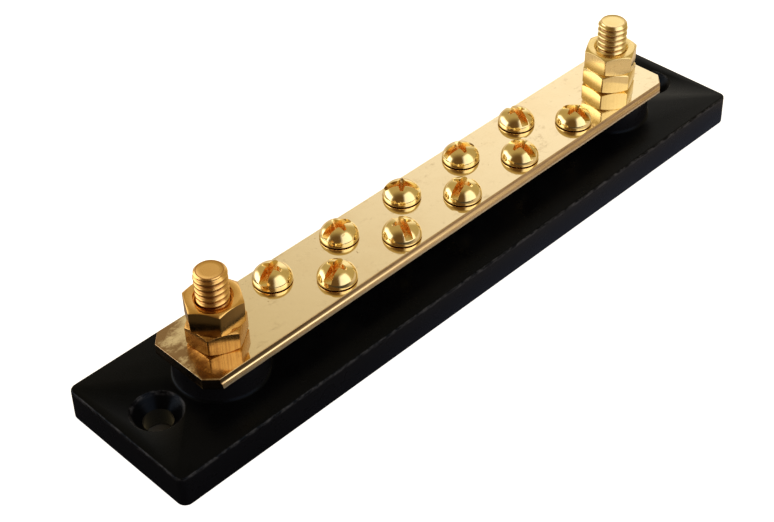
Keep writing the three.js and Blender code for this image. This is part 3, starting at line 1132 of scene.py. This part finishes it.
# The room is dim and warm, and darkest and reddest towards the camera. The reach is the cosines of the
# angles from the dark side, as (azimuth, elevation), where the darkness starts and where it is full.
ROOM_LIGHT = (0.43, 0.34, 0.18)
ROOM_DARK = (0.13, 0.078, 0.034)
ROOM_DARK_SIDE = (188, 25)
ROOM_DARK_REACH = (0.3, 0.9)
WHITE_LIGHT = (1, 1, 1, 1)


def make_world():
    """Studio light from soft panels in a dim room, and plain white where the camera sees past the floor."""
    world = bpy.data.worlds.new("studio")
    bpy.context.scene.world = world
    world.use_nodes = True
    tree = world.node_tree
    tree.nodes.clear()
    place = tree.nodes.new("ShaderNodeTexCoord").outputs["Generated"]

    def fade(towards, start, end, low, high):
        """Goes from low to high as a direction turns to towards: start and end are cosines of its angle."""
        dot = tree.nodes.new("ShaderNodeVectorMath")
        dot.operation = "DOT_PRODUCT"
        tree.links.new(place, dot.inputs[0])
        dot.inputs[1].default_value = towards
        remap = tree.nodes.new("ShaderNodeMapRange")
        remap.interpolation_type = "SMOOTHSTEP"
        tree.links.new(dot.outputs["Value"], remap.inputs["Value"])
        for name, value in (("From Min", start), ("From Max", end), ("To Min", low), ("To Max", high)):
            remap.inputs[name].default_value = value
        return remap.outputs["Result"]

    def background(colour, strength):
        """Light of one colour, with a number or a socket for its strength."""
        node = tree.nodes.new("ShaderNodeBackground")
        node.inputs["Color"].default_value = colour
        if isinstance(strength, float):
            node.inputs["Strength"].default_value = strength
        else:
            tree.links.new(strength, node.inputs["Strength"])
        return node.outputs["Background"]

    def panel(corners, softness, strength):
        """White light inside the panel's corners: the product of a soft edge for each of its sides."""
        ways = [direction(*corner) for corner in corners]
        middle = sum(ways, Vector())
        mask = None
        for i, soft in enumerate(softness):
            inward = ways[i].cross(ways[(i + 1) % len(ways)]).normalized()
            if inward.dot(middle) < 0:
                inward.negate()
            reach = math.sin(math.radians(soft))
            edge = fade(inward, -reach, reach, 0.0, strength if i == 0 else 1.0)
            if mask is None:
                mask = edge
                continue
            product = tree.nodes.new("ShaderNodeMath")
            product.operation = "MULTIPLY"
            tree.links.new(mask, product.inputs[0])
            tree.links.new(edge, product.inputs[1])
            mask = product.outputs["Value"]
        return background(WHITE_LIGHT, mask)

    room = tree.nodes.new("ShaderNodeMix")
    room.data_type = "RGBA"
    tree.links.new(fade(direction(*ROOM_DARK_SIDE), *ROOM_DARK_REACH, 0.0, 1.0), room.inputs["Factor"])
    room.inputs[6].default_value = (*ROOM_LIGHT, 1)
    room.inputs[7].default_value = (*ROOM_DARK, 1)
    studio = background(WHITE_LIGHT, 1.0)
    tree.links.new(room.outputs[2], studio.node.inputs["Color"])
    for settings in LIGHT_PANELS:
        together = tree.nodes.new("ShaderNodeAddShader")
        tree.links.new(studio, together.inputs[0])
        tree.links.new(panel(*settings), together.inputs[1])
        studio = together.outputs["Shader"]
    mix = tree.nodes.new("ShaderNodeMixShader")
    tree.links.new(tree.nodes.new("ShaderNodeLightPath").outputs["Is Camera Ray"], mix.inputs["Fac"])
    tree.links.new(studio, mix.inputs[1])
    tree.links.new(background(WHITE_LIGHT, 1.0), mix.inputs[2])
    output = tree.nodes.new("ShaderNodeOutputWorld")
    tree.links.new(mix.outputs["Shader"], output.inputs["Surface"])


# ---------------------------------------------------------------- the whole scene

make_camera()
make_floor()
make_world()
bpy.context.scene.view_settings.view_transform = "Standard"
bpy.context.scene.view_settings.look = "Medium High Contrast"

make_base()
make_bar()
for stud_end in ENDS:
    make_stud(stud_end)
for nut_node in NUT_TURNS:
    make_nut(nut_node)
make_screws()
